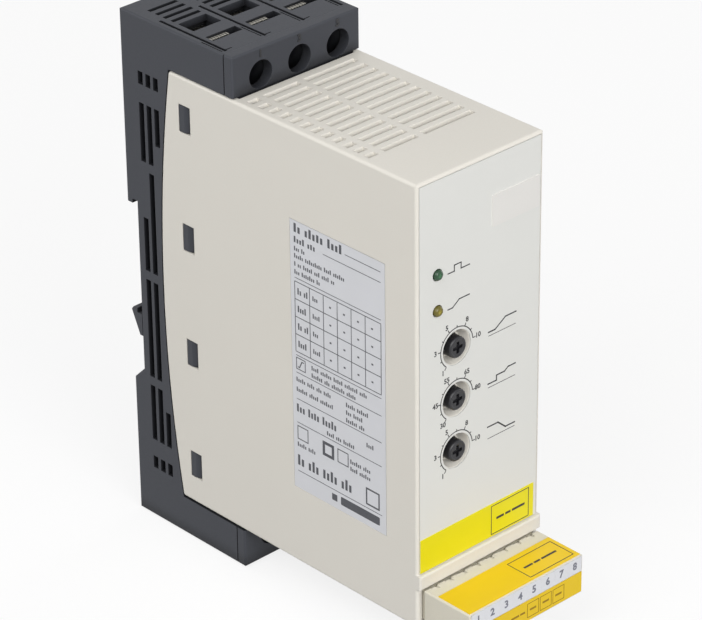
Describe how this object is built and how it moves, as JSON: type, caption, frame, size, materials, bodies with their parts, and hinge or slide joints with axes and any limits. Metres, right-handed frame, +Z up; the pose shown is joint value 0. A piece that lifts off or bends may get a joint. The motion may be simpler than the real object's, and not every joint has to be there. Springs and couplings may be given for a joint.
{
  "type": "motor soft starter",
  "caption": "Narrow motor soft starter for a top-hat rail: dark base with terminal blocks, pale vented cover, trimmer dials, lights and a pull-off control plug.",
  "frame": {"origin": "middle of the rail seat, on the seat plane and half way between the rail's edges", "axes": "+X to the right seen from the front, +Y to the rear towards the rail, +Z up"},
  "size_m": [0.045, 0.1302, 0.154],
  "materials": {
    "base_plastic": "fine grain",
    "cover_plastic": "fine grain",
    "sheet_plastic": "smooth",
    "yellow_label": "satin print",
    "grey_label": "satin print",
    "zinc_steel": "zinc plated",
    "copper": "plain copper",
    "contact_brass": "tinned",
    "board": "solder resist",
    "relay_plastic": "smooth",
    "black_plastic": "smooth",
    "aluminium": "extruded",
    "winding": "taped",
    "capacitor_sleeve": "shrink sleeve",
    "cable_grey": "smooth",
    "socket_plastic": "smooth",
    "trimmer_plastic": "smooth",
    "dial_plastic": "smooth",
    "green_lens": "clear tint",
    "yellow_lens": "clear tint",
    "header_plastic": "smooth",
    "plug_plastic": "fine grain"
  },
  "bodies": {
    "housing": {"base_housing": "base_plastic", "line_shroud": "base_plastic", "load_shroud": "base_plastic", "front_cover": "cover_plastic", "marker_tag": "cover_plastic", "front_sheet": "sheet_plastic", "front_band": "yellow_label", "side_label": "grey_label", "din_clip_spring": "zinc_steel", "line_clamp_1": "zinc_steel", "line_clamp_2": "zinc_steel", "line_clamp_3": "zinc_steel", "load_clamp_1": "zinc_steel", "load_clamp_2": "zinc_steel", "load_clamp_3": "zinc_steel", "line_screws": "zinc_steel", "load_screws": "zinc_steel", "heat_sink_screws": "zinc_steel", "control_board_screws": "zinc_steel", "line_busbar_1": "copper", "line_busbar_3": "copper", "load_busbar_1": "copper", "load_busbar_3": "copper", "through_busbar": "copper", "header_pins": "contact_brass", "heat_sink_spacers": "contact_brass", "power_board": "board", "control_board": "board", "bypass_relay_1": "relay_plastic", "bypass_relay_3": "relay_plastic", "thyristor_1": "black_plastic", "thyristor_3": "black_plastic", "heat_sink": "aluminium", "supply_transformer": "winding", "capacitor_1": "capacitor_sleeve", "capacitor_2": "capacitor_sleeve", "link_cable": "cable_grey", "power_link_socket": "socket_plastic", "control_link_socket": "socket_plastic", "start_trimmer": "trimmer_plastic", "voltage_trimmer": "trimmer_plastic", "stop_trimmer": "trimmer_plastic", "power_light": "green_lens", "run_light": "yellow_lens", "control_header": "header_plastic"},
    "start_dial": {"start_dial": "dial_plastic"},
    "voltage_dial": {"voltage_dial": "dial_plastic"},
    "stop_dial": {"stop_dial": "dial_plastic"},
    "rail_clip": {"din_clip": "base_plastic"},
    "control_plug": {"control_plug": "plug_plastic", "plug_contacts": "contact_brass", "plug_springs": "zinc_steel", "plug_top_label": "yellow_label", "plug_front_label": "yellow_label"}
  },
  "joints": [
    {"name": "start_dial_turn", "type": "hinge", "parent": "housing", "child": "start_dial", "pos_m": [-0.0083, -0.1076, 0.0101], "axis": [0, 1, 0], "range_deg": [-135, 135]},
    {"name": "voltage_dial_turn", "type": "hinge", "parent": "housing", "child": "voltage_dial", "pos_m": [-0.0083, -0.1076, -0.0052], "axis": [0, 1, 0], "range_deg": [-135, 135]},
    {"name": "stop_dial_turn", "type": "hinge", "parent": "housing", "child": "stop_dial", "pos_m": [-0.0083, -0.1076, -0.0205], "axis": [0, 1, 0], "range_deg": [-135, 135]},
    {"name": "rail_clip_slide", "type": "slide", "parent": "housing", "child": "rail_clip", "axis": [0, 0, -1], "range_m": [0, 0.005], "stiffness_N_per_m": 600, "springref_m": -0.002, "deforming": ["din_clip_spring"]},
    {"name": "control_plug_pull", "type": "slide", "parent": "housing", "child": "control_plug", "axis": [0, -1, 0], "range_m": [0, 0.02]}
  ]
}
